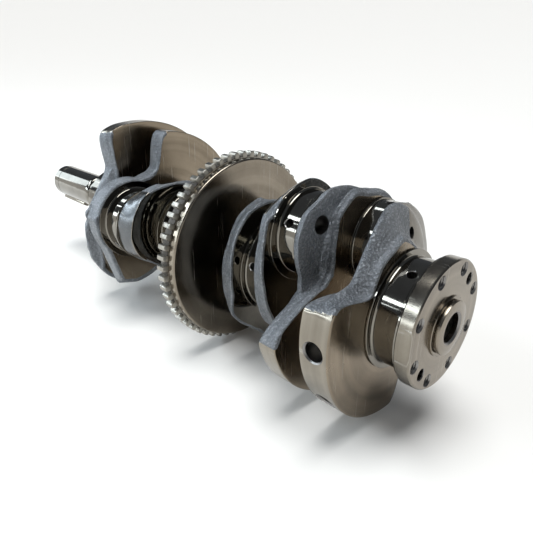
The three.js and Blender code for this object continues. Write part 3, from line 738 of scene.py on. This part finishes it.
WEBS = {
    "front_counterweight_web": {
        "noses": [(PIN_ANGLE[1], 35.5)],
        "lobe": {"radius": 85, "angles": (30, 56, 178, 205)},
        "sections": [
            {"at": 0, "boss": 42, "flanks": [
                [(-49.4, 69), (-41.8, 63), (-31.7, 60.1), (-20, 56.6), (10.3, 55.7), (20.6, 54.2), (29.3, 51),
                 (36, 48.5), (43, 53.5), (50.3, 71.2), (52.8, 82), (56, 85.5), (62, 86), (72, 85)]]},
            {"at": 0.45, "boss": 42, "flanks": [
                [(-44, 71), (-30, 67), (-16, 64.5), (-10, 61), (-5, 64), (2.3, 60), (13.4, 57),
                 (22.2, 56), (32, 54),
                 (43, 57), (48, 70), (51, 82), (54, 85.5), (62, 86), (72, 85)]]},
            {"at": 1, "boss": 40, "turned": 70, "flanks": [
                [(-36.4, 67.8), (-28.5, 64.1), (-14, 61.5), (-9, 58), (-4, 61), (0, 57), (4.4, 54.5),
                 (23.2, 53.2),
                 (34, 54.5), (42.1, 58.9), (46.5, 71), (50.4, 83), (53.6, 85.5), (62, 86), (72, 85)]]},
        ],
    },
    "front_flying_web": {
        "noses": [(PIN_ANGLE[1], 33.5), (PIN_ANGLE[2], 35.2)],
        "lobe": {"radius": 79.5, "angles": (56, 77, 160, 180)},
        "sections": [
            {"at": 0, "boss": 36, "flanks": [
                [(-100, 43), (-90.5, 43.9), (-77.3, 48), (-69.1, 57.4), (-62.3, 65.6), (-55, 69.5)],
                [(44.5, 49.3), (55, 46.5), (62.5, 47.6), (68, 51.5), (71.1, 56.1), (73.5, 66), (75.7, 76.8),
                 (79, 79.5)]]},
            {"at": 1, "boss": 36, "flanks": [
                [(-103, 46), (-90, 53), (-80, 60.5), (-72, 66.4), (-64, 69.6)],
                [(44.5, 48.5), (60, 46.5), (68.9, 49.8), (71.8, 62.7), (74.5, 75.4), (77, 79.5)]]},
        ],
    },
    "web_at_crankpin_2": {
        "polished": True,
        "bright": (0, 31),
        "edges": (0.7, 0.9),
        "noses": [(PIN_ANGLE[2], 31.5)],
        "sections": [
            {"at": 0, "boss": 39.5, "turned": 61.3, "flanks": [
                [(-52.8, 41.6), (-34.9, 49.8), (-24.8, 56.2), (-17.2, 59), (-8.4, 61.2)],
                [(6.9, 61.3), (20.6, 60.1), (29.3, 58.2), (45.9, 49.7), (76.1, 39.7)]]},
            {"at": 1, "boss": 39.5, "turned": 65, "flanks": [
                [(-45, 46), (-21.4, 59.8), (-12, 62.6), (-0.4, 64.8), (7, 64.8), (16.5, 62.5), (25.5, 57),
                 (35, 52.1), (50, 46)]]},
        ],
    },
    "web_at_crankpin_3": {
        "polished": True,
        "bright": (180, 31),
        "edges": (0.7, 0.9),
        "noses": [(PIN_ANGLE[3], 31.5)],
        "sections": [{"at": 0, "boss": 41, "turned": 66}, {"at": 1, "boss": 41, "turned": 61.3}],
    },
    "web_at_crankpin_4": {
        "polished": True,
        "edges": (0.7, 0.9),
        "noses": [(PIN_ANGLE[4], 33)],
        "sections": [
            {"at": 0, "boss": 46.8, "turned": 61.3, "flanks": [
                [(-85.7, 56), (-70, 53), (-45, 53.5), (-29.6, 46.4), (-9.2, 45.9), (8.4, 47.7), (26.9, 50.4),
                 (44.9, 51.7), (72.9, 47.4)]]},
            {"at": 1, "boss": 44, "turned": 67, "flanks": [
                [(-99.5, 62.3), (-85.6, 56.7), (-72.5, 53.8), (-60, 51.8), (-42.3, 46.4), (-20.4, 43.9),
                 (18.7, 43.5), (41.9, 47.4), (72.3, 48)]]},
        ],
    },
    "web_at_crankpin_5": {
        "polished": True,
        "edges": (0.7, 0.9),
        "noses": [(PIN_ANGLE[5], 34)],
        "sections": [
            {"at": 0, "boss": 47, "turned": 69.8, "flanks": [
                [(-60, 45), (-36.6, 45), (-26.3, 46.2), (-7.1, 48.9), (13.1, 56.2), (25.4, 62.2),
                 (36.7, 69.5)]]},
            {"at": 1, "boss": 45, "turned": 62, "flanks": [
                [(-52.1, 45.4), (-29.3, 44.6), (-9, 45.6), (7.9, 48.6), (25.7, 53.5), (39.2, 62)]]},
        ],
    },
    "rear_flying_web": {
        "noses": [(PIN_ANGLE[5], 31.8), (PIN_ANGLE[6], 31.8)],
        "lobe": {"radius": 72, "angles": (-124, -98, -24, 2)},
        "edges": (2.0, 3.6),
        "sections": [
            {"at": 0, "boss": 34, "flanks": [RIDGE_REAR]},
            {"at": 0.14, "between": 0.08, "swell": (1.4, -12, 192)},
            {"at": 0.42, "between": 0.42, "swell": (-5.5, -12, 192)},
            {"at": 0.78, "between": 0.98, "swell": (1.2, -12, 192)},
            {"at": 1, "boss": 34, "flanks": [RIDGE_FRONT, mirrored(RIDGE_REAR, 90)[:9]]},
        ],
    },
    "rear_counterweight_web": {
        "noses": [(PIN_ANGLE[6], 36)],
        "lobe": {"radius": 71.2, "angles": (-125, -106, 5, 20)},
        "milled": (86, 170),
        "sections": [
            {"at": 0, "boss": 41, "flanks": [REAR_ARM_REAR]},
            {"at": 0.5, "boss": 41, "flanks": [REAR_ARM_MIDDLE]},
            {"at": 1, "boss": 38, "flanks": [REAR_ARM_FRONT]},
        ],
    },
}


def balance_drill(angle, radius, station, depth, hole):
    outline = [(radius - depth - 2.5, 0.4), (radius - depth, hole), (radius - 0.7, hole)]
    outline += [(radius + 0.3, hole + 1)]
    return radial_drill(station, angle, outline + [(radius + 5, hole + 1)])


def nose_drill(angle, radius, rear, front, hole):
    outline = [(rear - 2, hole + 0.8), (rear + 1, hole + 0.8), (rear + 2, hole), (front, hole)]
    return axial_drill(angle, radius, outline)


WEB_DRILLS = {
    "rear_counterweight_web": lambda: [
        balance_drill(-16, 70.8, 38, 14, 6),
        balance_drill(-50, 70.8, 38, 14, 6),
        nose_drill(90, 46, 26, 45, 3.6),
    ],
    "rear_flying_web": lambda: [axial_drill(*LIGHTENING_HOLE)],
}

for name, web in WEBS.items():
    piece = web_piece(name, web)
    if name in WEB_DRILLS:
        cut(piece, WEB_DRILLS[name](), BORE)
    finish(piece, [name])


# ------------------------------------------------------------------------------------------------
# Tone wheel and ring
# ------------------------------------------------------------------------------------------------

def tone_wheel():
    rear, front = stations("tone_wheel_web")
    outline = [(rear, 0), (rear, 30), (rear, 55), (rear, 69.4)]
    outline += arc(rear + 1.4, 69.4, 1.4, -90, -5, 7)[1:]
    outline += [(169.3, 70.8), (169.6, 70.6), (169.6, 65.4), (front - 1, 65.4), (front, 64.4), (front, 0)]
    piece = turned("tone_wheel_turned", outline, [TURNED], 384)
    finish(piece, ["tone_wheel_web"])


def tone_ring():
    """A stamped ring: each tooth is a block with broken edges on a plain band."""
    rear, front = 169.9, 177.5
    tip, root, seat = 75.4, 72.0, 65.8
    count, missing, gap_angle = 60, 2, 201
    pitch = 360 / count
    profile = []
    for tooth in range(count):
        start = tooth * pitch
        skipped = gap_angle / pitch <= tooth < gap_angle / pitch + missing
        for share, height in ((0.0, 0), (0.02, 0.45), (0.05, 0.8), (0.1, 0.97), (0.28, 1), (0.46, 0.97),
                              (0.51, 0.8), (0.54, 0.45), (0.56, 0), (0.78, 0)):
            profile.append((start + share * pitch, root + (tip - root) * height * (0 if skipped else 1)))
    angles = np.array([angle for angle, _ in profile])
    outer = np.array([reach for _, reach in profile])
    # The faces on the band between the teeth take the near-black steel: painted shade in the gaps between the
    # teeth.
    low = (outer < root + 0.1) & (np.roll(outer, -1) < root + 0.1)
    inner = np.full(len(outer), seat)
    edge = 0.7
    rings = []
    for station, drop in ((rear, edge), (rear + 0.3 * edge, 0.3 * edge), (rear + edge, 0), (front - edge, 0),
                          (front - 0.3 * edge, 0.3 * edge), (front, edge)):
        rings.append(place(station, angles, outer - drop))
    for station in (front, rear):
        rings.append(place(station, angles, inner))
    rings.append(rings[0])
    points, faces = ring_grid(rings, False, False)
    around = len(rings) - 1 - 3
    face_slots = [1 if flag else 0 for _ in range(around) for flag in low] + [0] * (3 * len(low))
    piece = make_object("tone_ring_stamped", points, faces, [TOOTH, SLOT_PAINTED_SHADE], face_slots)
    weld(piece)
    finish(piece, ["tone_ring"])


tone_wheel()
tone_ring()


# ------------------------------------------------------------------------------------------------
# Flange, hub and snout
# ------------------------------------------------------------------------------------------------

BOLT_CIRCLE = 33.7
BOLT_COUNT = 8
BOLT_START = 9
DOWEL_CIRCLE = 31.5
DOWEL_ANGLES = (121.5, 301.5)


def flange():
    rear, front = 0.0, stations("flywheel_flange")[1]
    radius = outer_radius("flywheel_flange")
    outline = [(rear, 0), (rear, 17), (rear, 24), (rear, 30), (rear, radius - 0.9), (rear + 0.9, radius)]
    outline += [(rear + 3, radius), (rear + 6, radius), (front - 0.9, radius), (front, radius - 0.9)]
    outline += [(front, 30), (front, 0)]

    def slot_of(first, second):
        return 1 if min(first[1], second[1]) > radius - 1.2 else 0

    piece = turned("flywheel_flange_turned", outline, [TURNED, RIM], 384, slot_of=slot_of)
    cutters = []
    for bolt in range(BOLT_COUNT):
        walls = [(-2, 5.2), (-0.3, 4.6), (0.9, 3.5)] + thread(1.0, 10.5, 3.45, 1.25, 0.55) + [(12, 3.4)]
        angle = BOLT_START + 360 / BOLT_COUNT * bolt
        cutters.append(axial_drill(angle, BOLT_CIRCLE, walls, 32))
    for angle in DOWEL_ANGLES:
        cutters.append(axial_drill(angle, DOWEL_CIRCLE, [(-2, 4.6), (-0.2, 4.2), (0.5, 3.6), (12, 3.6)], 32))
    cutters.append(pilot_cutter())
    cut(piece, cutters, BORE)
    finish(piece, ["flywheel_flange"])


def hub():
    outline = [(-4.2, 9.0), (-4.2, 15.7), (-4.0, 16.2), (-3.6, 16.4), (-2.1, 16.4), (-2.0, 15.6)]
    outline += [(-1.4, 15.4), (-1.2, 15.6), (-1.2, 18.0), (-0.8, 18.4), (0.0, 18.4), (0.0, 9.0)]
    piece = turned("pilot_hub_turned", outline, [TURNED, BORE], 192, looped=True)
    cut(piece, [pilot_cutter()], BORE)
    finish(piece, ["pilot_hub"])


def snout():
    start, end = 366.0, 483.6
    radius, relief = 17.6, 16.4
    outline = [(start, 0), (start, relief), (start + 16, relief), (398.6, relief), (399.4, radius - 0.2)]
    outline += [(399.9, radius)] + [(float(station), radius) for station in np.linspace(405, 470, 12)]
    outline += [(471.0, radius), (471.2, radius - 0.25), (472.2, radius - 0.25), (472.4, radius)]
    outline += [(end - 1.6, radius), (end - 0.2, radius - 1.2), (end, radius - 1.6), (end, 0)]
    piece = turned("snout_ground", outline, [GROUND, BORE], 192)
    walls = thread(end - 45, end - 3, 6.6, 1.5, 0.7) + [(end - 2, 7.4), (end + 1.5, 10.5), (end + 3, 10.5)]
    bolt_hole = axial_drill(0, 0, [(end - 50, 0.4), (end - 46, 6.4)] + walls)
    cut(piece, [bolt_hole, key_block("cutter", 0.15, 4.0)], BORE)
    finish(piece, ["snout"])


def key_block(name, clearance, extra_top):
    """A square key set into the snout, as a plain block with square ends."""
    rear, front = 424 - clearance, 474 + clearance
    half = 3 + clearance
    bottom, top = 14.6 - clearance, 20 + extra_top
    angle = 285
    outline = [(rear, half), (front, half), (front, -half), (rear, -half)]
    up = Vector(place(0, angle, 1000)).normalized()
    side = Vector((1, 0, 0)).cross(up)
    points = []
    for height in (bottom, top):
        for station, across in outline:
            points.append(Vector((-station, 0, 0)) * MM + up * height * MM + side * across * MM)
    faces = [(0, 1, 2, 3), (7, 6, 5, 4), (0, 4, 5, 1), (1, 5, 6, 2), (2, 6, 7, 3), (3, 7, 4, 0)]
    return make_object(name, points, faces)


def snout_key():
    piece = key_block("snout_key_ground", 0, 0)
    piece.data.materials.append(RIM)
    work = bmesh.new()
    work.from_mesh(piece.data)
    bmesh.ops.recalc_face_normals(work, faces=work.faces)
    bmesh.ops.bevel(work, geom=list(work.edges), offset=0.4 * MM, segments=3, affect="EDGES", profile=0.5)
    work.to_mesh(piece.data)
    work.free()
    finish(piece, ["snout_key"])


def sprocket_seat():
    rear, front = stations("timing_sprocket_seat")
    outline = [(rear, 0), (rear, 33)] + [(float(s), 33) for s in np.linspace(rear + 2, front - 1.2, 8)]
    outline += [(front, 31.8), (front, 18), (front, 0)]
    piece = turned("timing_sprocket_seat_ground", outline, [GROUND], 256)
    finish(piece, ["timing_sprocket_seat"])


flange()
hub()
snout()
snout_key()
sprocket_seat()


# ------------------------------------------------------------------------------------------------
# Studio and camera
# ------------------------------------------------------------------------------------------------

def backdrop():
    """A pale floor that is flat under the crank and rises gently all round it, like a wide dish."""
    low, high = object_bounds()
    material = bpy.data.materials.new("backdrop")
    material.use_nodes = True
    shader = material.node_tree.nodes["Principled BSDF"]
    shader.inputs["Base Color"].default_value = (0.84, 0.81, 0.77, 1)
    shader.inputs["Roughness"].default_value = 0.9
    shader.inputs["Specular IOR Level"].default_value = 0.1
    flat, edge = 1.3, 14.0
    slope = math.tan(math.radians(15))
    spreads = [0.01, 0.7, flat] + list(np.linspace(flat, edge, 20)[1:])
    turns = np.radians(np.arange(0, 360, 5))
    rings = []
    for spread in spreads:
        past = max(0.0, spread - flat)
        height = slope * past * past / (past + 1.2)
        rings.append(np.stack([spread * np.cos(turns), spread * np.sin(turns), height + 0 * turns], axis=-1))
    points, faces = ring_grid(rings, True, False)
    floor = make_object("backdrop", points, faces, [material])
    weld(floor)
    shade(floor)
    floor.location = ((low[0] + high[0]) / 2, 0, low[2] - 0.0005)
    floor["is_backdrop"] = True


def studio():
    backdrop()
    world = bpy.data.worlds.new("studio")
    bpy.context.scene.world = world
    world.use_nodes = True
    world.node_tree.nodes["Background"].inputs[0].default_value = (0.8, 0.88, 1.0, 1)
    world.node_tree.nodes["Background"].inputs[1].default_value = 0.14
    sun = bpy.data.lights.new("overhead", "SUN")
    sun.energy = 3.2
    sun.angle = math.radians(40)
    sun.color = (0.95, 0.98, 1.0)
    holder = bpy.data.objects.new("overhead", sun)
    bpy.context.scene.collection.objects.link(holder)


WINDOW_DISTANCE = 1.6
WINDOW_COLOUR = (0.8, 0.91, 1.0)


def softbox(name, azimuth, elevation, width, height, power):
    """An area light that faces the middle of the crank."""
    middle = Vector((-0.22, 0, 0))
    a, e = math.radians(azimuth), math.radians(elevation)
    direction = Vector((math.cos(a) * math.cos(e), math.sin(a) * math.cos(e), math.sin(e)))
    lamp = bpy.data.lights.new(name, "AREA")
    lamp.shape = "RECTANGLE"
    lamp.size = width
    lamp.size_y = height
    lamp.energy = power
    lamp.color = WINDOW_COLOUR
    holder = bpy.data.objects.new(name, lamp)
    holder.location = middle + direction * WINDOW_DISTANCE
    holder.rotation_euler = (-direction).to_track_quat("-Z", "Y").to_euler()
    bpy.context.scene.collection.objects.link(holder)


def camera():
    lens = bpy.data.cameras.new("camera")
    lens.lens = 33.45
    lens.sensor_width = 36
    lens.shift_x = 0.0179
    lens.shift_y = -0.0084
    holder = bpy.data.objects.new("camera", lens)
    bpy.context.scene.collection.objects.link(holder)
    holder.location = (0.10166, -0.24637, 0.14259)
    holder.rotation_euler = Vector((-0.66297, 0.63914, -0.38984)).to_track_quat("-Z", "Y").to_euler()
    lens.clip_start = 0.01
    bpy.context.scene.camera = holder


studio()
# Each window as azimuth and elevation in degrees, width and height in metres, and power in watts.
WINDOWS = {
    "window_high_left": (-166, 33, 0.4, 0.13, 1.1),
    "window_high_middle": (-130, 36, 1.5, 0.17, 10.5),
    "window_high_strip": (-138, 27, 1.5, 0.03, 1.2),
    "window_low_middle": (-128, 13, 1.5, 0.17, 6.4),
    "window_low_left": (-166, 17, 0.4, 0.5, 2.4),
    "back_strip": (145, 57, 0.3, 0.13, 1.1),
}
for name, window in WINDOWS.items():
    softbox(name, *window)
camera()
bpy.context.scene.view_settings.view_transform = "Standard"
